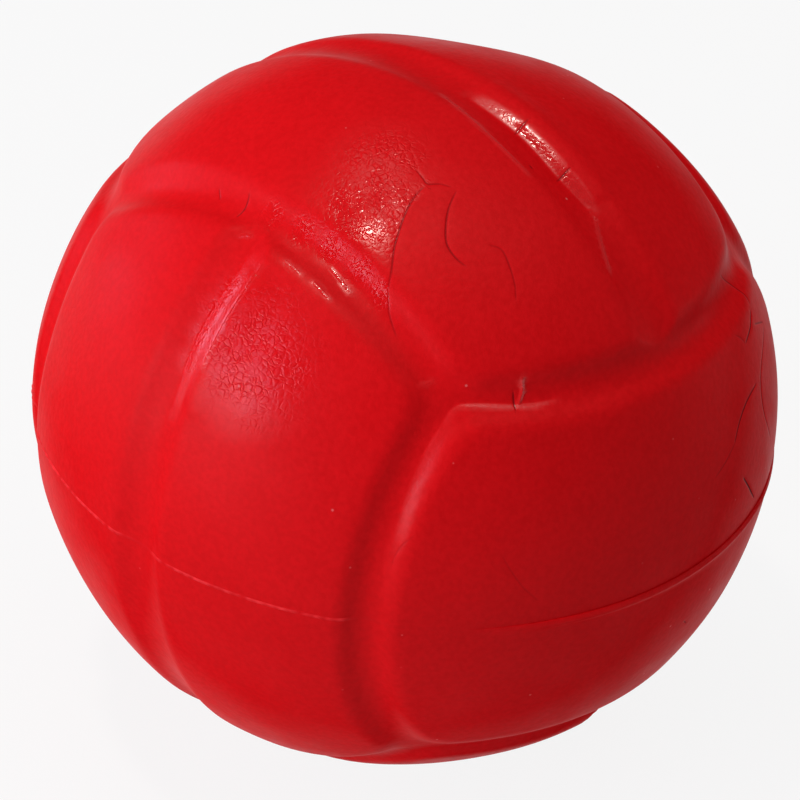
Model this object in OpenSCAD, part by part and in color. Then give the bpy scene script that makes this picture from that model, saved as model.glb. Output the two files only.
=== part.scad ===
// Rubber dog ball: two moulded half shells bonded into a hollow ball,
// with grooves that divide the surface into the panels of a sports ball.
// Millimetres. The origin is the ball's centre, and the seam lies in the XY plane.

/* [Ball] */
// Diameter over the panels
ball_d = 65; // [55:0.5:80]
// Thickness of the rubber wall
wall_t = 9; // [6:0.5:14]

/* [Grooves] */
// Width of the grooves along the edges between the six faces, over their rounded shoulders
edge_w = 5.8; // [5:0.1:6.6]
// Depth of the grooves along the edges
edge_depth = 0.85; // [0.7:0.05:1.2]
// Width of the grooves that split a face into two panels, over their rounded shoulders
split_w = 6.2; // [5.4:0.1:7]
// How much shallower the split grooves are than the edge grooves
split_rise = 0.25; // [0.05:0.05:0.3]
// Radius of the rounded shoulders of the grooves
shoulder_r = 3; // [2.2:0.1:3.6]
// Width of the hollow where three edge grooves meet
corner_w = 3.6; // [3:0.1:4.4]
// How much deeper that hollow is than the edge grooves
corner_drop = 0.2; // [0.15:0.05:0.4]

/* [Pattern] */
// Angle of the corners over the seam
corner_rise = 33.6; // [32:0.2:36]
// Angle of the corners round the ball, from the middle of the two plain faces
corner_turn = 42.8; // [41:0.2:46]
// Angle from the middle of the top face to the middle of its bowed long sides
top_bow = 36.4; // [34:0.2:40]
// Angle from the middle of a split side face to the middle of its bowed upright sides
side_bow = 37; // [34:0.2:40]
// Angle from the middle of a plain face to the middle of its upper side
plain_bow = 33.6; // [32:0.2:38]

/* [Seam] */
// Thickness of the bonding rubber between the two rims
bond_t = 0.3; // [0.2:0.05:0.6]
// Height of the flash that stands out of the seam
flash_h = 0.12; // [0.08:0.02:0.3]
// Radius of the bead that is squeezed out of the seam into the hollow
bead_r = 1.2; // [0.8:0.1:2]

/* [Hidden] */
ball_r = ball_d / 2;
hollow_r = ball_r - wall_t;
split_depth = edge_depth - split_rise;
// Slope of a shoulder where it runs out into the panel
shoulder_slope = 5;
// Radius of a groove's floor against the radius at which it would only touch the shoulders
floor_share = 1.02;
// How far the shapes that cut the grooves stand out of the ball
cutter_h = 2;
// A corner of the pattern on a ball of radius 1
corner = [cos(corner_rise) * cos(corner_turn), cos(corner_rise) * sin(corner_turn), sin(corner_rise)];
red = [0.74, 0.05, 0.06];
$fn = 96;

// Section of a groove: a round floor between two rounded shoulders, with X out of the ball and
// the zero point on the ball's surface. The margin makes the groove smaller all round.
module groove_section(w, depth, margin) {
    side = w / 2 + shoulder_r * sin(shoulder_slope);
    sink = sqrt(ball_r * ball_r - w * w / 4) - ball_r - shoulder_r * cos(shoulder_slope);
    rise = -depth - sink;
    touching_r = (side * side + rise * rise - shoulder_r * shoulder_r) / (2 * (shoulder_r - rise));
    floor_r = floor_share * touching_r;
    translate([floor_r - depth, 0]) circle(r = floor_r - margin);
    difference() {
        translate([-depth / 2, -side]) square([depth / 2 + cutter_h, 2 * side]);
        for (y = [-side, side])
            translate([sink, y]) circle(r = shoulder_r + margin);
    }
}

// A groove along an arc of a circle on the ball, with its middle over +Z
module arc_groove(offset, reach, w, depth, margin) {
    rotate([0, -90, -90])
        rotate([0, 0, -reach])
            rotate_extrude(angle = 2 * reach)
                rotate(asin(offset))
                    translate([ball_r, 0])
                        groove_section(w, depth, margin);
}

// The groove along the edge between the +Z and +Y faces, bowed into the +Z face, up to its corners
// at a given X, Y and Z on a ball of radius 1
module edge_groove(end_x, end_y, end_z, bow, margin = 0) {
    lean = atan2(sin(bow) - end_y, cos(bow) - end_z);
    offset = end_y * cos(lean) - end_z * sin(lean);
    reach = asin(end_x / sqrt(1 - offset * offset));
    rotate([-lean, 0, 0])
        arc_groove(offset, reach, edge_w, edge_depth, margin);
}

// The groove along the middle of the +Z face, in the X direction
module split_groove(end_bow, margin = 0) {
    arc_groove(0, 90 - end_bow, split_w, split_depth, margin);
}

// Repeats a shape on both sides of the YZ plane
module both_x() {
    children();
    mirror([1, 0, 0]) children();
}

// Repeats a shape on both sides of the XZ plane
module both_y() {
    children();
    mirror([0, 1, 0]) children();
}

// The four edge grooves that run down the sides and cross the seam
module side_edges(margin = 0) {
    both_x() both_y()
        rotate([0, -90, -90])
            edge_groove(corner.z, corner.x, corner.y, side_bow, margin);
}

// The two split grooves that run down the sides and cross the seam
module side_splits(margin = 0) {
    both_y()
        rotate([0, -90, -90]) split_groove(top_bow, margin);
}

// The four edge grooves around the top face
module top_edges() {
    both_y()
        edge_groove(corner.x, corner.y, corner.z, top_bow);
    both_x()
        rotate([90, 0, 90]) edge_groove(corner.y, corner.z, corner.x, plain_bow);
}

// The hollows at the four upper corners, where three grooves meet
module corner_hollows() {
    depth = edge_depth + corner_drop;
    r = (corner_w * corner_w / 4 + depth * depth) / (2 * depth);
    both_x() both_y()
        translate(corner * (ball_r + r - depth))
            sphere(r = r);
}

// Half of the hollow ball, before the grooves
module blank_half() {
    difference() {
        sphere(r = ball_r);
        sphere(r = hollow_r);
        translate([-ball_d, -ball_d, bond_t / 2 - 2 * ball_d])
            cube(2 * ball_d);
    }
}

// One half shell, with its grooves cut in turn
module half_shell() {
    difference() {
        difference() {
            difference() {
                blank_half();
                corner_hollows();
            }
            top_edges();
        }
        side_edges();
        side_splits();
        split_groove(plain_bow);
    }
}

module upper_half_shell() {
    color(red) half_shell();
}

// The same moulding, turned over
module lower_half_shell() {
    color(red) rotate([180, 0, 0]) half_shell();
}

// The cured bonding rubber: a flat ring between the rims, flash outside and a bead inside
module seam_bond() {
    color(red * 0.9) difference() {
        rotate_extrude() {
            translate([hollow_r - bead_r / 2, -bond_t / 2])
                square([wall_t + bead_r / 2 + flash_h, bond_t]);
            intersection() {
                translate([hollow_r, 0]) circle(r = bead_r);
                circle(r = hollow_r);
            }
        }
        side_edges(flash_h);
        side_splits(flash_h);
    }
}

upper_half_shell();
lower_half_shell();
seam_bond();
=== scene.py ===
import math

import bmesh
import bpy
import numpy as np
from mathutils import Matrix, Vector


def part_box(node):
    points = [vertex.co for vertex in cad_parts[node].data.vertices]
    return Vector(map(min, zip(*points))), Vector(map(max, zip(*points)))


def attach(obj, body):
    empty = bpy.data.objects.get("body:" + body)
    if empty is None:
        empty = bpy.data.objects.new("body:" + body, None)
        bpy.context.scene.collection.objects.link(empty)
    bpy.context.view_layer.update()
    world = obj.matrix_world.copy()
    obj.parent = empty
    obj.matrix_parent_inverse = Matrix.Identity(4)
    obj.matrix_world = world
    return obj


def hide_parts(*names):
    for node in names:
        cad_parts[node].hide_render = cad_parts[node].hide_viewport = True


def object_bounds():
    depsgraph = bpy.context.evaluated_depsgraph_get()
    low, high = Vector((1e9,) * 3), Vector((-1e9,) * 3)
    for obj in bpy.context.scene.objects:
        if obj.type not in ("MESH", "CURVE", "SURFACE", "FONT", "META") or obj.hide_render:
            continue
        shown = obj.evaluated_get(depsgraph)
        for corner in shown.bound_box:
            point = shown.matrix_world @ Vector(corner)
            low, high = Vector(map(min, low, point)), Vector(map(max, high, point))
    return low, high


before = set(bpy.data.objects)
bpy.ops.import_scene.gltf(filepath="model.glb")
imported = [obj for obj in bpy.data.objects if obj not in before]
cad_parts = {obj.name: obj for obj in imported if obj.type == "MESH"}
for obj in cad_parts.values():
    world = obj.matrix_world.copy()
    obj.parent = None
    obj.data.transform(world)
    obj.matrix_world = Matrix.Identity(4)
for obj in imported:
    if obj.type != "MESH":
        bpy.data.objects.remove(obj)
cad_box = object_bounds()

# Sizes of the ball in millimetres, as its solids have them
MM = 0.001
BALL_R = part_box("upper_half_shell")[1][0] / MM
RIM_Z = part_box("upper_half_shell")[0][2] / MM
FLASH_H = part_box("seam_bond")[1][0] / MM - BALL_R
BEAD_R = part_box("seam_bond")[1][2] / MM
WALL_T = 9.0
HOLLOW_R = BALL_R - WALL_T

# The grooves: widths, shoulder radius and rounding at the corners in millimetres, and the steepest slopes of
# their walls in degrees
EDGE_W = 5.8
EDGE_SLOPE = 27.0
SPLIT_W = 6.2
SPLIT_SLOPE = 18.5
SHOULDER_R = 2.6
CORNER_ROUND = 1.6

# The pattern in degrees: its corners, and how far the sides of the faces bow
CORNER_RISE = math.radians(33.6)
CORNER_TURN = math.radians(42.8)
TOP_BOW = 36.4
SIDE_BOW = 37.0
PLAIN_BOW = 33.6
CORNER = (
    math.cos(CORNER_RISE) * math.cos(CORNER_TURN),
    math.cos(CORNER_RISE) * math.sin(CORNER_TURN),
    math.sin(CORNER_RISE),
)

# The lip of the lower half on the +X side of the seam: its height, its depth under the seam and its spread in
# millimetres, and the X of the directions at which it starts and is whole
LIP_H = 0.26
LIP_AT = 0.40
LIP_W = 0.45
LIP_STARTS = 0.78
LIP_WHOLE = 0.93

# How high the slow waves of the moulded surface are
WAVE_H = 0.04

# How far from a rim the surface is drawn in to leave room for the bond
RIM_LIFT = 2.0

# How far from a rim the surface has its smallest triangles
RIM_FINE = 1.1

# The camera that took the photograph: degrees, millimetres, and the pixel where the ball's centre is
PHOTO_PX = 800
AZIMUTH = 40.4
ELEVATION = 34.1
ROLL = 4.5
DISTANCE = 263.2
LENS = 134.2
SENSOR = 36.0
CENTRE_PX = (406.7, 397.6)

# Flow lines and cracks in the rubber: how strong each one is, and its pixels in the photograph
CRACKS = [
    (0.7, [(416, 170), (423, 178), (428, 184), (440, 184), (451, 187)]),
    (1.0, [(424, 187), (414, 198), (405, 215), (398, 235), (394, 250), (392, 268), (388, 289)]),
    (1.0, [(456, 192), (449, 208), (446, 226), (447, 244), (456, 258), (466, 266)]),
    (0.6, [(490, 245), (502, 250), (510, 267), (515, 285), (516, 300)]),
    (0.6, [(388, 289), (389, 312), (396, 334)]),
    (1.0, [(724, 273), (738, 281), (746, 293), (750, 304)]),
    (1.8, [(751, 311), (751, 326), (746, 343)]),
    (1.0, [(755, 324), (763, 322)]),
    (1.0, [(764, 326), (762, 360), (761, 385), (764, 412), (770, 437)]),
    (1.8, [(756, 384), (747, 402), (740, 422), (735, 443)]),
    (0.6, [(735, 443), (727, 460), (716, 477)]),
    (2.2, [(744, 478), (749, 486), (754, 498)]),
    (0.5, [(735, 335), (741, 338), (745, 343)]),
    (1.0, [(247, 190), (241, 203), (233, 213)]),
    (0.7, [(215, 184), (215, 194)]),
    (1.2, [(516, 392), (518, 411)]),
    (1.0, [(518, 127), (528, 120)]),
    (1.0, [(561, 176), (571, 167)]),
    (0.3, [(503, 557), (512, 572), (524, 588), (538, 600)]),
    (0.3, [(414, 536), (404, 545), (396, 556), (392, 566)]),
    (1.2, [(531, 163), (534, 167)]),
    (1.0, [(684, 621), (686, 623)]),
]
# Half the width of a crack, and its depth
CRACK_W = 0.12
CRACK_DEPTH = 0.04

# How far from a line the surface has its smallest triangles, and a crack its mark
LINE_REACH = 0.45

# Fine raised lines in and along the grooves: height in ridge heights, and pixels in the photograph
RIDGES = [
    (1.0, [(263, 264), (245, 291), (228, 318), (212, 348), (203, 368)]),
    (0.8, [(440, 90), (470, 117), (500, 146), (530, 176)]),
    (0.6, [(420, 384), (428, 383), (436, 380)]),
    (0.8, [(236, 234), (243, 232), (250, 233)]),
    (3.0, [(523, 378), (525, 391), (522, 404)]),
    (0.8, [(599, 213), (603, 232), (608, 253), (613, 272)]),
    (1.2, [(312, 280), (320, 289), (330, 300)]),
    (1.2, [(328, 264), (339, 277), (350, 292)]),
    (0.8, [(283, 260), (292, 266), (301, 275)]),
]
# Half the width of a raised line, its height, and how many of those widths its shine reaches
RIDGE_W = 0.20
RIDGE_H = 0.05
RIDGE_SHINE = 1.5

# Folds in the walls and shoulders of the grooves: height and width in millimetres, how shiny the face is,
# and the pixels of the fold's foot, with the fold on its left
FOLDS = [
    (0.46, 1.10, 1.0, [(470, 92), (495, 108), (522, 129), (541, 148), (560, 170), (576, 187), (592, 206)]),
    (0.34, 1.40, 0.55, [(240, 262), (220, 289), (200, 321), (187, 346), (177, 373), (167, 405)]),
    (0.16, 0.45, 0.6, [
        (560, 398), (540, 402), (515, 404), (490, 403), (470, 403), (459, 405), (450, 412), (443, 424),
    ]),
    (0.04, 1.20, 0.3, [(447, 418), (433, 437), (423, 455), (413, 478), (405, 498), (398, 520), (392, 545)]),
]
# How far a fold takes to die away behind its face, and how round the face is
FOLD_RUN = 4.0
FOLD_CROWN = 0.3
# The share of a face's width over which its shine fades at each edge
SHINE_FADE = 0.25
# The dip at a fold's foot: its spread in millimetres, and its depth as a share of the fold's height
DIP_W = 0.8
DIP_SHARE = 0.5

# The smooth skin on the right of the long crack in the top panel, as pixels of the photograph
SMOOTH_SKIN = [
    (440, 180), (424, 187), (405, 215), (394, 250), (388, 289), (396, 334), (440, 345),
    (560, 330), (560, 230), (500, 180),
]

# Where the rubber is wrinkled and shiny: the middle in the photograph's pixels, the radius in millimetres,
# and how strong the wrinkles are, which fade out at a multiple of the radius
GRAIN_FADE = 1.6
GRAINY = [
    ((372, 205), 4.0, 1.0),
    ((380, 160), 3.5, 0.8),
    ((255, 360), 4.5, 0.9),
    ((265, 315), 3.5, 0.6),
    ((268, 212), 1.2, 0.9),
    ((300, 228), 1.2, 1.0),
    ((330, 245), 1.2, 1.0),
    ((360, 269), 1.2, 1.0),
    ((382, 291), 1.1, 0.9),
    ((228, 287), 1.2, 0.8),
    ((213, 310), 1.3, 0.9),
    ((200, 335), 1.3, 0.9),
    ((188, 360), 1.2, 0.7),
    ((95, 320), 7.0, 0.14),
    ((200, 130), 12.0, 0.12),
    ((410, 70), 10.0, 0.12),
]

# Where the ball is out of round: degrees round its outline in the photograph, millimetres, spread in degrees
OUT_OF_ROUND = [
    (80, -1.00, 17),
    (48, -0.28, 13),
    (276, -0.40, 18),
    (182, 0.35, 18),
]

# Where along the seam the flash was left on, in degrees from +X, and how fast it ends
FLASH_FROM = -322.0
FLASH_TO = -49.0
FLASH_FADE = 2.0

# How fine the meshes are: steps round the seam, across the bead and the flash, and along a quarter of a shell
SEAM_STEPS = 1440
BEAD_STEPS = 9
GRID = 150
HOLLOW_GRID = 30
TINY = 1e-6

# Edges that turn by more than this many degrees stay sharp
SHARP_ANGLE = 50.0

# The rubber's patterns: cells in a metre
CLOUDS = 90.0
DOTS = 2000.0
SPECKS = 500.0
SATIN_PATCHES = 240.0
PEBBLES = 1900.0
PEBBLE_BENDS = 1500.0
PEBBLE_PATCHES = 700.0
FINE_GRAIN = 1800.0

# The rubber's bumps: heights in millimetres, and how far the edges of the pebbles are bent
PEBBLE_H = 0.03
FINE_H = 0.06
CRACK_EDGE_H = 0.05
BEND = 0.6

# How rough the rubber is where it is satin and where it is shiny, and its specular levels
SATIN_ROUGH = (0.40, 0.52)
SHINY_ROUGH = 0.13
WRINKLED_SPECULAR = 0.16
POLISHED_SPECULAR = 0.50

# Colours
RUBBER_DEEP = (0.595, 0.0024, 0.0045, 1.0)
RUBBER_LIGHT = (0.70, 0.0042, 0.0075, 1.0)
BOND_DEEP = (0.585, 0.0024, 0.0045, 1.0)
BOND_LIGHT = (0.68, 0.0042, 0.0075, 1.0)
# Painted highlight: the flash is painted this paler red to stand for the light its raised bead catches
FLASH_PAINTED_HIGHLIGHT = (0.78, 0.03, 0.035, 1.0)
SPECK_PINK = (0.85, 0.25, 0.25, 1.0)
# Painted shade: the cracks are painted this dark red to stand for the shade in their narrow V
CRACK_PAINTED_SHADE = (0.10, 0.002, 0.004, 1.0)
WHITE = (1.0, 1.0, 1.0, 1.0)
FLOOR_GREY = (0.72, 0.72, 0.72, 1.0)

# The floor's half width in metres, and how much of it shows as plain white
FLOOR_HALF = 2.0
FLOOR_WHITE = 0.88

# Lamps: where each one stands by the camera's right, up and back directions, its width and height in metres,
# its watts and its colour
LAMP_DISTANCE = 0.6
LAMPS = {
    "overhead": (-0.17, 0.74, 0.65, 0.05, 0.04, 0.95, (1.0, 0.92, 0.82)),
    "overhead bar": (0.20, 0.77, 0.61, 0.46, 0.08, 0.60, (1.0, 0.95, 0.90)),
    "overhead rear": (-0.14, 0.93, 0.35, 0.14, 0.16, 0.20, (1.0, 0.96, 0.92)),
    "window": (-0.72, 0.12, 0.68, 0.16, 0.34, 0.80, (0.75, 0.68, 1.0)),
    "rear window": (-0.88, 0.34, -0.32, 0.30, 0.30, 1.0, (0.75, 0.68, 1.0)),
    "left wall": (-0.89, -0.33, 0.32, 0.60, 0.55, 5.4, (0.97, 0.92, 1.0)),
    "right rear": (0.85, -0.10, -0.45, 0.40, 0.40, 1.6, (1.0, 0.97, 0.95)),
}
WORLD_STRENGTH = 0.20


# Camera

def unit(v):
    return v / np.linalg.norm(v)


def camera_axes():
    """The camera's right, up and back directions."""
    azimuth = math.radians(AZIMUTH)
    elevation = math.radians(ELEVATION)
    roll = math.radians(ROLL)
    level = np.array([math.cos(azimuth), math.sin(azimuth), 0.0])
    back = np.array([
        math.sin(azimuth) * math.cos(elevation),
        -math.cos(azimuth) * math.cos(elevation),
        math.sin(elevation),
    ])
    upright = np.cross(back, level)
    right = math.cos(roll) * level + math.sin(roll) * upright
    up = math.cos(roll) * upright - math.sin(roll) * level
    return right, up, back


RIGHT, UP, BACK = camera_axes()
FOCAL_PX = LENS / SENSOR * PHOTO_PX


def camera_place():
    """Where the camera stands, in millimetres, so that the ball's centre is at its pixel."""
    across = (CENTRE_PX[0] - PHOTO_PX / 2) / FOCAL_PX * DISTANCE
    above = (PHOTO_PX / 2 - CENTRE_PX[1]) / FOCAL_PX * DISTANCE
    return BACK * DISTANCE - RIGHT * across - UP * above


def photo_point(pixel):
    """The direction, from the ball's centre, of the point of the ball that a pixel shows."""
    x = (pixel[0] - PHOTO_PX / 2) / FOCAL_PX
    y = (PHOTO_PX / 2 - pixel[1]) / FOCAL_PX
    ray = unit(RIGHT * x + UP * y - BACK)
    start = camera_place()
    middle = -ray @ start
    off = start @ start - middle * middle
    depth = middle - math.sqrt(max(BALL_R * BALL_R - off, 0.0))
    return unit(start + ray * depth)


def add_camera():
    data = bpy.data.cameras.new("camera")
    data.lens = LENS
    data.sensor_width = SENSOR
    data.clip_start = 0.01
    camera = bpy.data.objects.new("camera", data)
    place = camera_place() * MM
    columns = np.column_stack([RIGHT, UP, BACK, place])
    camera.matrix_world = Matrix(columns.tolist() + [[0, 0, 0, 1]])
    bpy.context.scene.collection.objects.link(camera)
    bpy.context.scene.camera = camera


# The ball's outside

def groove_drop(distance, width, slope):
    """How far a groove's surface lies under the ball's, at a distance from the groove's middle.

    From the middle out: a round floor, and a shoulder that runs out into the panel.
    """
    slope = math.radians(slope)
    mouth = math.asin(width / 2 / BALL_R)
    shoulder_at = width / 2 - SHOULDER_R * math.sin(mouth)
    shoulder_low = (BALL_R - SHOULDER_R) * math.cos(mouth) - BALL_R
    floor_r = shoulder_at / math.sin(slope) - SHOULDER_R
    floor_mid = shoulder_low + (SHOULDER_R + floor_r) * math.cos(slope)
    floor = floor_mid - np.sqrt(np.maximum(floor_r ** 2 - distance ** 2, 0))
    shoulder = shoulder_low + np.sqrt(np.maximum(SHOULDER_R ** 2 - (distance - shoulder_at) ** 2, 0))
    section = np.where(distance < floor_r * math.sin(slope), floor, shoulder)
    ball = np.sqrt(BALL_R ** 2 - np.minimum(distance, width / 2) ** 2) - BALL_R
    return np.where(distance < width / 2, np.maximum(ball - section, 0), 0)


def edge_distance(side, face, along, end, bow):
    """Distance from the edge groove between two faces, which bows into one of them, up to its corners."""
    bow = math.radians(bow)
    end_side, end_face, end_along = end
    lean = math.atan2(math.sin(bow) - end_side, math.cos(bow) - end_face)
    offset = end_side * math.cos(lean) - end_face * math.sin(lean)
    reach = math.asin(end_along / math.sqrt(1 - offset ** 2))
    height = side * math.cos(lean) - face * math.sin(lean)
    across = np.abs(np.arcsin(np.clip(height, -1, 1)) - math.asin(offset))
    angle = np.arctan2(along, side * math.sin(lean) + face * math.cos(lean))
    to_corner = np.arccos(np.clip(side * end_side + face * end_face + along * end_along, -1, 1))
    return BALL_R * np.where(angle <= reach, across, to_corner)


def split_distance(side, face, along, end_bow):
    """Distance from the groove that splits a face, or a large number past its ends."""
    inside = np.arctan2(along, face) < math.radians(90 - end_bow)
    return np.where(inside, BALL_R * np.arcsin(np.clip(side, 0, 1)), BALL_R)


def smooth_min(a, b, blend):
    near = np.maximum(blend - np.abs(a - b), 0) / blend
    return np.minimum(a, b) - near * near * blend / 4


def grooves(directions):
    """The drop of the grooves under the ball, in millimetres."""
    x, y, z = np.abs(directions).T
    cx, cy, cz = CORNER
    top = edge_distance(y, z, x, (cy, cz, cx), TOP_BOW)
    plain = edge_distance(z, x, y, (cz, cx, cy), PLAIN_BOW)
    upright = edge_distance(x, y, z, (cx, cy, cz), SIDE_BOW)
    edges = smooth_min(smooth_min(top, plain, CORNER_ROUND), upright, CORNER_ROUND)
    splits = np.minimum(split_distance(y, z, x, PLAIN_BOW), split_distance(x, y, z, TOP_BOW))
    edge_drop = groove_drop(np.maximum(edges, 0), EDGE_W, EDGE_SLOPE)
    split_drop = groove_drop(splits, SPLIT_W, SPLIT_SLOPE)
    return np.maximum(edge_drop, split_drop)


def waves(directions):
    """A slow unevenness of the moulded surface, from a few crossing waves."""
    total = np.zeros(len(directions))
    for count, way in ((5, (1, 2, -1)), (7, (-2, 1, 1)), (9, (1, -1, 2)), (13, (2, 1, 3))):
        total += np.sin(count * directions @ unit(np.array(way, float)) * 2 + count)
    return total / 4


def smooth_path(pixels, steps=6):
    """Directions along a curve through pixels of the photograph."""
    points = np.array([photo_point(p) for p in pixels])
    knots = np.linspace(0, len(points) - 1, (len(points) - 1) * steps + 1)
    index = np.clip(knots.astype(int), 0, len(points) - 2)
    part = (knots - index)[:, None]
    before = points[np.maximum(index - 1, 0)]
    after = points[np.minimum(index + 2, len(points) - 1)]
    a, b = points[index], points[index + 1]
    curve = a + part / 2 * (
        b - before + part * (2 * before - 5 * a + 4 * b - after + part * (3 * (a - b) + after - before))
    )
    return curve / np.linalg.norm(curve, axis=1)[:, None]


CRACK_PATHS = [(strength, smooth_path(pixels)) for strength, pixels in CRACKS]
RIDGE_PATHS = [(strength, smooth_path(pixels)) for strength, pixels in RIDGES]
FOLD_PATHS = [(1.0, smooth_path(pixels)) for *_, pixels in FOLDS]


def lines(directions, paths, reach=1.6):
    """Distance in millimetres from the nearest line, less than zero on one side, and the line's strength."""
    nearest = np.full(len(directions), BALL_R)
    strength = np.zeros(len(directions))
    for weight, path in paths:
        middle = unit(path.mean(axis=0))
        widest = math.acos(min(np.min(path @ middle), 1))
        close = np.flatnonzero(directions @ middle > math.cos(widest + reach / BALL_R))
        spots = directions[close]
        for k, (a, b) in enumerate(zip(path[:-1], path[1:])):
            step = b - a
            t = np.clip((spots - a) @ step / (step @ step), 0, 1)
            gap = np.linalg.norm(spots - a - t[:, None] * step, axis=1) * BALL_R
            side = np.where(spots @ np.cross(a, b) > 0, 1, -1)
            fade = 0.2 + 0.8 * np.sqrt(np.sin(math.pi * (k + t) / (len(path) - 1)).clip(0))
            better = gap < np.abs(nearest[close])
            nearest[close] = np.where(better, gap * side, nearest[close])
            strength[close] = np.where(better, weight * fade, strength[close])
    return nearest, strength


def photo_pixels(directions):
    """Where points of the ball are in the photograph, for those on its near side."""
    offset = directions * BALL_R - camera_place()
    depth = -offset @ BACK
    x = PHOTO_PX / 2 + FOCAL_PX * (offset @ RIGHT) / depth
    y = PHOTO_PX / 2 - FOCAL_PX * (offset @ UP) / depth
    return x, y


def smooth_skin(directions):
    """1 on the smooth skin and 0 elsewhere."""
    x, y = photo_pixels(directions)
    inside = np.zeros(len(directions), bool)
    for (ax, ay), (bx, by) in zip(SMOOTH_SKIN, SMOOTH_SKIN[1:] + SMOOTH_SKIN[:1]):
        crosses = (ay > y) != (by > y)
        inside ^= crosses & (x < ax + (y - ay) / (by - ay) * (bx - ax))
    return np.where(inside & (directions @ BACK > 0.2), 1.0, 0.0)


def grain_depth(directions):
    """How strong the wrinkled grain is, from 0 to 1."""
    depth = np.zeros(len(directions))
    for pixel, radius, strength in GRAINY:
        away = np.linalg.norm(directions - photo_point(pixel), axis=1) * BALL_R
        depth = np.maximum(depth, strength * np.clip(GRAIN_FADE - away / radius, 0, 1))
    return depth * (1 - smooth_skin(directions))


def polish(directions):
    """How shiny the faces of the folds and the raised lines are, from 0 to 1."""
    ridge, strength = lines(directions, RIDGE_PATHS)
    shine = np.clip(strength, 0, 1) * np.clip(RIDGE_SHINE - np.abs(ridge) / RIDGE_W, 0, 1)
    for (_, width, gloss, _), path in zip(FOLDS, FOLD_PATHS):
        gap, fade = lines(directions, [path], width)
        share = gap / width
        inside = np.clip(share / SHINE_FADE, 0, 1) * np.clip((1 - share) / SHINE_FADE, 0, 1)
        shine = np.maximum(shine, gloss * inside * fade)
    return shine


def out_of_round(directions):
    """How far the ball swells or is pressed in, in millimetres."""
    total = np.zeros(len(directions))
    for angle, amount, spread in OUT_OF_ROUND:
        turn = math.radians(angle)
        middle = unit(RIGHT * math.cos(turn) + UP * math.sin(turn) + BACK * BALL_R / DISTANCE)
        away = np.degrees(np.arccos(np.clip(directions @ middle, -1, 1)))
        total += amount * np.exp(-(away / spread) ** 2)
    return total


def folds(directions):
    """The folds in the groove walls: each one rises from a dip at its foot and dies away behind it."""
    total = np.zeros(len(directions))
    for (height, width, *_), path in zip(FOLDS, FOLD_PATHS):
        gap, fade = lines(directions, [path], width + FOLD_RUN)
        up = np.clip(gap / width, 0, 1)
        fall = np.cos(np.clip((gap - width) / FOLD_RUN, 0, 1) * math.pi / 2) ** 2
        dip = DIP_SHARE * np.exp(-(gap / DIP_W) ** 2)
        face = up * (1 + FOLD_CROWN - FOLD_CROWN * up * up)
        total += height * fade * (face * fall - dip)
    return total


def moulded_radius(directions):
    """The ball's outer radius with its grooves and its unevenness, in millimetres."""
    uneven = WAVE_H * waves(directions) + out_of_round(directions) + folds(directions)
    return BALL_R - grooves(directions) + uneven


def outside(directions, lower):
    """The outer points of one half."""
    crack, crack_strength = lines(directions, CRACK_PATHS)
    ridge, ridge_strength = lines(directions, RIDGE_PATHS)
    radius = moulded_radius(directions)
    radius -= CRACK_DEPTH * crack_strength * np.clip(1 - np.abs(crack) / (2 * CRACK_W), 0, 1)
    radius += RIDGE_H * ridge_strength * np.clip(1 - np.abs(ridge) / RIDGE_W, 0, 1)
    if lower:
        grown = np.clip((directions[:, 0] - LIP_STARTS) / (LIP_WHOLE - LIP_STARTS), 0, 1)
        below = np.abs(directions[:, 2]) * BALL_R
        radius += LIP_H * grown * np.exp(-((below - LIP_AT) / LIP_W) ** 2)
    return directions * radius[:, None]


# Meshes

def dome(count):
    """Directions and triangles of a half ball over the XY plane, with even steps along its rim."""
    corners = [(i, j, count - i - j) for i in range(count + 1) for j in range(count + 1 - i)]
    steps = np.sin(np.array(corners) / count * math.pi / 2)
    eighth = steps / np.linalg.norm(steps, axis=1)[:, None]
    index = {(i, j): k for k, (i, j, _) in enumerate(corners)}
    triangles = []
    for i, j, k in corners:
        if k > 0:
            triangles.append((index[i, j], index[i + 1, j], index[i, j + 1]))
        if i > 0 and j > 0:
            triangles.append((index[i, j], index[i - 1, j], index[i, j - 1]))
    triangles = np.array(triangles)
    points, faces = [], []
    for sx, sy in ((1, 1), (-1, 1), (-1, -1), (1, -1)):
        faces.append((triangles if sx == sy else triangles[:, ::-1]) + len(points) * len(eighth))
        points.append(eighth * (sx, sy, 1))
    points = np.concatenate(points)
    _, first, merged = np.unique(np.round(points, 7), axis=0, return_index=True, return_inverse=True)
    return points[first], merged.reshape(-1)[np.concatenate(faces)]


def rim_loop(directions):
    """The indices of a half ball's rim, in order round the Z axis."""
    rim = np.flatnonzero(np.abs(directions[:, 2]) < TINY)
    return rim[np.argsort(np.arctan2(directions[rim, 1], directions[rim, 0]))]


def refined(directions, faces):
    """The same surface with smaller triangles along the cracks, the raised lines and the rim."""
    work = bmesh.new()
    verts = [work.verts.new(d) for d in directions]
    for face in faces:
        work.faces.new([verts[k] for k in face])
    close = np.abs(lines(directions, CRACK_PATHS + RIDGE_PATHS + FOLD_PATHS)[0]) < LINE_REACH
    close |= np.abs(directions[:, 2]) * BALL_R < RIM_FINE
    work.verts.index_update()
    edges = [e for e in work.edges if close[e.verts[0].index] and close[e.verts[1].index]]
    if edges:
        bmesh.ops.subdivide_edges(work, edges=edges, cuts=3, use_grid_fill=True)
        bmesh.ops.triangulate(work, faces=[f for f in work.faces if len(f.verts) > 3])
    work.verts.index_update()
    points = np.array([v.co[:] for v in work.verts])
    points = points / np.linalg.norm(points, axis=1)[:, None]
    faces = [[v.index for v in f.verts] for f in work.faces]
    work.free()
    return points, faces


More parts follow.
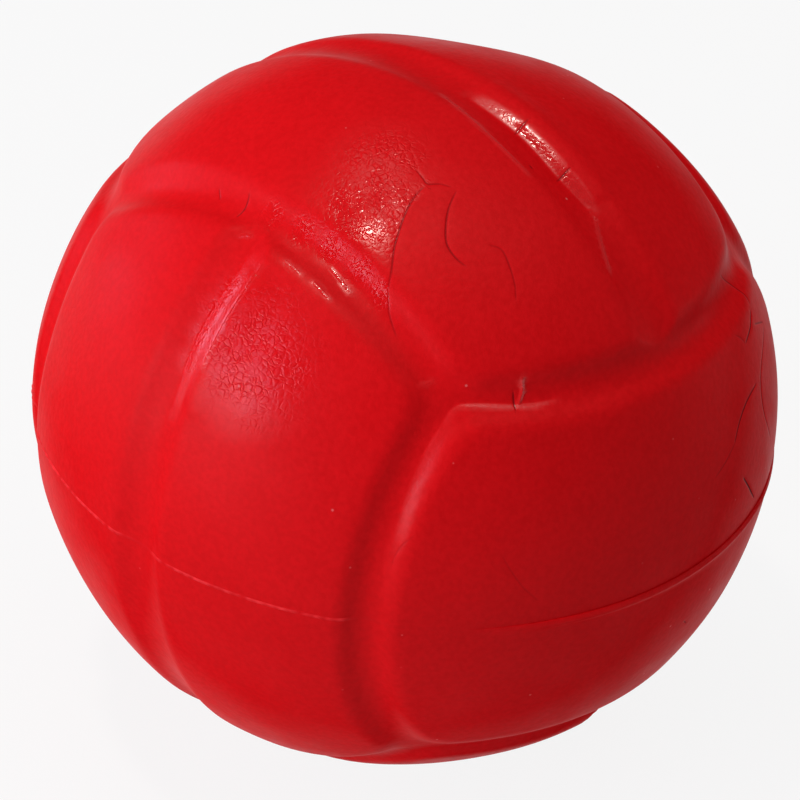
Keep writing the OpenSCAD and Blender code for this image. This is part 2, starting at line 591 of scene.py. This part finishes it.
def add_mesh(name, points, faces, body="root"):
    mesh = bpy.data.meshes.new(name)
    mesh.from_pydata((points * MM).tolist(), [], [list(map(int, f)) for f in faces])
    mesh.validate()
    mesh.shade_smooth()
    mesh.set_sharp_from_angle(angle=math.radians(SHARP_ANGLE))
    piece = bpy.data.objects.new(name, mesh)
    bpy.context.scene.collection.objects.link(piece)
    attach(piece, body)
    return piece


def add_values(piece, name, values):
    """Gives each point of a mesh a number that its material can read."""
    layer = piece.data.attributes.new(name, "FLOAT", "POINT")
    layer.data.foreach_set("value", np.asarray(values, dtype=np.float32))


def rim_faces(skin, rim, hollow, inner_rim, inner_start):
    """The flat rim between the outside and the hollow, in one face for each step round the hollow."""
    rim_angle = np.arctan2(skin[rim, 1], skin[rim, 0])
    inner_angle = np.arctan2(hollow[inner_rim, 1], hollow[inner_rim, 0])
    place = np.searchsorted(rim_angle, inner_angle - TINY) % len(rim)
    faces = []
    for k in range(len(inner_rim)):
        next_k = (k + 1) % len(inner_rim)
        count = (place[next_k] - place[k]) % len(rim)
        outer_part = [rim[(place[k] + m) % len(rim)] for m in range(count + 1)]
        inner_part = [inner_rim[next_k] + inner_start, inner_rim[k] + inner_start]
        faces.append((outer_part + inner_part)[::-1])
    return faces


def half_shell(name, lower):
    """One half shell: grooved outside, flat rim and round hollow, as a closed mesh."""
    turn = np.array([1, 1, -1]) if lower else np.array([1, 1, 1])
    base, base_faces = dome(GRID)
    skin, skin_faces = refined(base * turn, base_faces)
    hollow, hollow_faces = dome(HOLLOW_GRID)
    points = outside(skin, lower)
    rim = rim_loop(skin)
    points[:, 2] += RIM_Z * turn[2] * np.clip(1 - np.abs(points[:, 2]) / RIM_LIFT, 0, 1)
    inner = hollow * HOLLOW_R * turn
    inner_rim = rim_loop(hollow)
    inner[inner_rim, 2] = RIM_Z * turn[2]
    faces = [list(f) for f in skin_faces]
    faces += [list(f[::-1] + len(points)) for f in hollow_faces]
    faces += rim_faces(skin, rim, hollow, inner_rim, len(points))
    if lower:
        faces = [f[::-1] for f in faces]
    piece = add_mesh(name, np.concatenate([points, inner]), faces)
    crack, strength = lines(skin, CRACK_PATHS)
    strength = np.where(np.abs(crack) < LINE_REACH, strength, 0)
    plain = np.zeros(len(inner))
    add_values(piece, "crack_distance", np.concatenate([crack, plain + BALL_R]))
    add_values(piece, "crack_strength", np.concatenate([strength, plain]))
    add_values(piece, "grain_depth", np.concatenate([grain_depth(skin), plain]))
    add_values(piece, "polish", np.concatenate([polish(skin), plain]))
    return piece


def flash_height(directions):
    """How far the flash stands out of the seam: left on along one side, trimmed elsewhere."""
    angle = np.arctan2(directions[:, 1], directions[:, 0])
    middle = math.radians(FLASH_FROM + FLASH_TO) / 2
    half = math.radians(FLASH_TO - FLASH_FROM) / 2
    away = np.arccos(np.clip(np.cos(angle - middle), -1, 1))
    left_on = np.clip((half - away) / math.radians(FLASH_FADE), 0, 1)
    uneven = 0.5 + 0.2 * np.sin(31 * angle) + 0.2 * np.sin(83 * angle + 1) + 0.2 * np.sin(211 * angle + 2)
    worn = np.clip(1 - 1.6 * grooves(directions), 0.1, 1)
    return FLASH_H * left_on * worn * np.clip(uneven, 0, 1)


def seam_ring(name):
    """The bonding rubber: a bead in the hollow, a flat ring between the rims, and the flash outside."""
    angles = np.arange(SEAM_STEPS) / SEAM_STEPS * 2 * math.pi
    around = np.column_stack([np.cos(angles), np.sin(angles), np.zeros(SEAM_STEPS)])
    surface = moulded_radius(around)
    flash = flash_height(around)
    level = np.ones(SEAM_STEPS)
    bead = np.linspace(math.pi * 0.5, math.pi * 1.5, BEAD_STEPS)
    rings = [(level * (HOLLOW_R + BEAD_R * np.cos(a)), BEAD_R * math.sin(a)) for a in bead]
    rings.append((level * HOLLOW_R, -RIM_Z))
    for share in np.linspace(-1, 1, BEAD_STEPS):
        rings.append((surface + flash * math.cos(share * math.pi / 2), share * RIM_Z))
    rings.append((level * HOLLOW_R, RIM_Z))
    points = np.concatenate([around * radius[:, None] + (0, 0, height) for radius, height in rings])
    faces = []
    for row in range(len(rings)):
        next_row = (row + 1) % len(rings)
        for k in range(SEAM_STEPS):
            step = (k + 1) % SEAM_STEPS
            faces.append((next_row * SEAM_STEPS + k, next_row * SEAM_STEPS + step,
                          row * SEAM_STEPS + step, row * SEAM_STEPS + k))
    piece = add_mesh(name, points, faces)
    add_values(piece, "flash", np.tile(flash / FLASH_H, len(rings)))
    return piece


# Materials

def node(tree, kind, inputs=None, **settings):
    """A shader node with its settings, and with its inputs set or linked by name or number."""
    made = tree.nodes.new(kind)
    for key, value in settings.items():
        setattr(made, key, value)
    for key, value in (inputs or {}).items():
        if isinstance(value, bpy.types.NodeSocket):
            tree.links.new(value, made.inputs[key])
        else:
            made.inputs[key].default_value = value
    return made


def scaled(tree, value, low, high, new_low, new_high):
    """A value stretched from one range to another and kept inside it."""
    inputs = {0: value, 1: low, 2: high, 3: new_low, 4: new_high}
    return node(tree, "ShaderNodeMapRange", inputs, clamp=True).outputs[0]


def noise(tree, place, scale, detail=2.0, rough=0.5):
    inputs = {"Vector": place, "Scale": scale, "Detail": detail, "Roughness": rough}
    return node(tree, "ShaderNodeTexNoise", inputs).outputs["Fac"]


def mixed(tree, amount, a, b):
    return node(tree, "ShaderNodeMix", {0: amount, 6: a, 7: b}, data_type="RGBA").outputs[2]


def blended(tree, amount, a, b):
    return node(tree, "ShaderNodeMix", {0: amount, 2: a, 3: b}).outputs[0]


def math_node(tree, operation, a, b=0.0):
    return node(tree, "ShaderNodeMath", {0: a, 1: b}, operation=operation).outputs[0]


def point_value(tree, name):
    """A number that the mesh gives to each of its points."""
    return node(tree, "ShaderNodeAttribute", attribute_name=name).outputs["Fac"]


def crack_mask(tree):
    """The strength of a crack along its middle, and 0 beside it."""
    distance = math_node(tree, "ABSOLUTE", point_value(tree, "crack_distance"))
    middle = scaled(tree, distance, 0.02, CRACK_W, 1.0, 0.0)
    return math_node(tree, "MULTIPLY", middle, point_value(tree, "crack_strength"))


def mottled_red(tree, place, crack, deep, light):
    """Red in clouds and dots, with a few pale specks, painted shade in the cracks and a painted highlight on
    the flash.
    """
    clouds = scaled(tree, noise(tree, place, CLOUDS, detail=8.0, rough=0.72), 0.3, 0.7, 0.0, 1.0)
    dots = scaled(tree, noise(tree, place, DOTS), 0.35, 0.65, 0.0, 1.0)
    colour = mixed(tree, blended(tree, 0.5, clouds, dots), deep, light)
    speck_cell = node(tree, "ShaderNodeTexVoronoi", {"Vector": place, "Scale": SPECKS})
    chance = node(tree, "ShaderNodeSeparateColor", {0: speck_cell.outputs["Color"]}).outputs[0]
    speck = scaled(tree, speck_cell.outputs["Distance"], 0.03, 0.07, 1.0, 0.0)
    speck = math_node(tree, "MULTIPLY", speck, scaled(tree, chance, 0.86, 0.90, 0.0, 0.45))
    colour = mixed(tree, speck, colour, SPECK_PINK)
    # Painted shade along the cracks, darker where a crack is stronger
    colour = mixed(tree, math_node(tree, "MULTIPLY", crack, 0.6), colour, CRACK_PAINTED_SHADE)
    # Painted highlight: the flash is painted paler where it stands out of the seam
    return mixed(tree, point_value(tree, "flash"), colour, FLASH_PAINTED_HIGHLIGHT)


def satin_gloss(tree, place, wrinkled, polished):
    """The roughness and the specular level: satin, and shiny where the rubber is wrinkled or polished."""
    satin = scaled(tree, noise(tree, place, SATIN_PATCHES, detail=3.0, rough=0.6), 0.3, 0.7, *SATIN_ROUGH)
    shiny = math_node(tree, "MAXIMUM", wrinkled, polished)
    roughness = blended(tree, shiny, satin, SHINY_ROUGH)
    facing = node(tree, "ShaderNodeLayerWeight", {"Blend": 0.5}).outputs["Facing"]
    rim = scaled(tree, facing, 0.55, 0.90, 0.0, 0.020)
    sheen = math_node(tree, "ADD", scaled(tree, facing, 0.20, 0.58, 0.065, 0.006), rim)
    specular = blended(tree, wrinkled, sheen, WRINKLED_SPECULAR)
    return roughness, blended(tree, polished, specular, POLISHED_SPECULAR)


def rubber_bumps(tree, place, crack, wrinkled, polished):
    """Pebbles where the rubber is wrinkled, a fine grain that is weaker there, and the cracks."""
    bend = node(tree, "ShaderNodeTexNoise", {"Vector": place, "Scale": PEBBLE_BENDS}).outputs["Color"]
    bend_size = (BEND * MM, BEND * MM, BEND * MM)
    bent = node(tree, "ShaderNodeVectorMath", {0: bend, 1: bend_size, 2: place}, operation="MULTIPLY_ADD")
    cell_inputs = {"Vector": bent.outputs[0], "Scale": PEBBLES}
    cells = node(tree, "ShaderNodeTexVoronoi", cell_inputs, feature="DISTANCE_TO_EDGE")
    pebbles = scaled(tree, cells.outputs["Distance"], 0.02, 0.22, 0.0, 1.0)
    patchy = scaled(tree, noise(tree, place, PEBBLE_PATCHES), 0.4, 0.6, 0.3, 1.0)
    depth = math_node(tree, "MAXIMUM", wrinkled, math_node(tree, "MULTIPLY", polished, 0.5))
    coarse = node(tree, "ShaderNodeBump", {
        "Height": pebbles, "Strength": math_node(tree, "MULTIPLY", depth, patchy), "Distance": PEBBLE_H * MM,
    })
    shiny = math_node(tree, "MAXIMUM", wrinkled, polished)
    fine = node(tree, "ShaderNodeBump", {
        "Height": noise(tree, place, FINE_GRAIN), "Strength": blended(tree, shiny, 0.5, 0.15),
        "Distance": FINE_H * MM, "Normal": coarse.outputs[0],
    })
    cut = node(tree, "ShaderNodeBump", {
        "Height": crack, "Strength": 0.6, "Distance": CRACK_EDGE_H * MM, "Normal": fine.outputs[0],
    }, invert=True)
    return cut.outputs[0]


def red_rubber(name, deep, light):
    """Satin moulded rubber between two reds."""
    material = bpy.data.materials.new(name)
    material.use_nodes = True
    tree = material.node_tree
    shader = tree.nodes["Principled BSDF"]
    place = node(tree, "ShaderNodeTexCoord").outputs["Object"]
    crack = crack_mask(tree)
    wrinkled = point_value(tree, "grain_depth")
    polished = point_value(tree, "polish")
    roughness, specular = satin_gloss(tree, place, wrinkled, polished)
    tree.links.new(mottled_red(tree, place, crack, deep, light), shader.inputs["Base Color"])
    tree.links.new(roughness, shader.inputs["Roughness"])
    tree.links.new(specular, shader.inputs["Specular IOR Level"])
    tree.links.new(rubber_bumps(tree, place, crack, wrinkled, polished), shader.inputs["Normal"])
    return material


def floor_material():
    """A pale floor: white to the camera and in reflections, with the ball's shadow kept."""
    material = bpy.data.materials.new("floor")
    material.use_nodes = True
    tree = material.node_tree
    shader = tree.nodes["Principled BSDF"]
    shader.inputs["Base Color"].default_value = FLOOR_GREY
    shader.inputs["Roughness"].default_value = 0.9
    shader.inputs["Specular IOR Level"].default_value = 0.0
    path = node(tree, "ShaderNodeLightPath")
    seen = math_node(tree, "MAXIMUM", path.outputs["Is Camera Ray"], path.outputs["Is Glossy Ray"])
    seen = math_node(tree, "MAXIMUM", seen, path.outputs["Is Transmission Ray"])
    share = math_node(tree, "MULTIPLY", seen, FLOOR_WHITE)
    white = node(tree, "ShaderNodeEmission", {"Color": WHITE, "Strength": 1.0})
    mix = node(tree, "ShaderNodeMixShader", {0: share, 1: shader.outputs[0], 2: white.outputs[0]})
    tree.links.new(mix.outputs[0], tree.nodes["Material Output"].inputs["Surface"])
    return material


# Stage and light

def add_floor():
    low = min(cad_box[0][2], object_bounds()[0][2])
    mesh = bpy.data.meshes.new("floor")
    corners = [(x * FLOOR_HALF, y * FLOOR_HALF, low) for x, y in ((-1, -1), (1, -1), (1, 1), (-1, 1))]
    mesh.from_pydata(corners, [], [(0, 1, 2, 3)])
    mesh.materials.append(floor_material())
    floor = bpy.data.objects.new("floor", mesh)
    bpy.context.scene.collection.objects.link(floor)


def add_softbox(name, across, above, towards, wide, tall, power, colour):
    """A lamp that faces the ball, placed by the camera's right, up and back directions."""
    data = bpy.data.lights.new(name, "AREA")
    data.shape = "RECTANGLE"
    data.size = wide
    data.size_y = tall
    data.energy = power
    data.color = colour
    lamp = bpy.data.objects.new(name, data)
    way = unit(RIGHT * across + UP * above + BACK * towards)
    side = unit(np.cross(UP if abs(above) < 0.6 else -BACK, way))
    columns = np.column_stack([side, np.cross(way, side), way, way * LAMP_DISTANCE])
    lamp.matrix_world = Matrix(columns.tolist() + [[0, 0, 0, 1]])
    bpy.context.scene.collection.objects.link(lamp)


def add_world():
    world = bpy.data.worlds.new("studio")
    world.use_nodes = True
    background = world.node_tree.nodes["Background"]
    background.inputs["Color"].default_value = WHITE
    background.inputs["Strength"].default_value = WORLD_STRENGTH
    bpy.context.scene.world = world


def main():
    add_camera()
    rubber = red_rubber("red rubber", RUBBER_DEEP, RUBBER_LIGHT)
    bond = red_rubber("bond rubber", BOND_DEEP, BOND_LIGHT)
    for name, lower in (("upper_half_shell", False), ("lower_half_shell", True)):
        piece = half_shell(name + ".rubber", lower)
        piece.data.materials.append(rubber)
        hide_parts(name)
    ring = seam_ring("seam_bond.ring")
    ring.data.materials.append(bond)
    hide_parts("seam_bond")
    add_floor()
    for name, lamp in LAMPS.items():
        add_softbox(name, *lamp)
    add_world()
    bpy.context.scene.view_settings.view_transform = "Standard"


main()
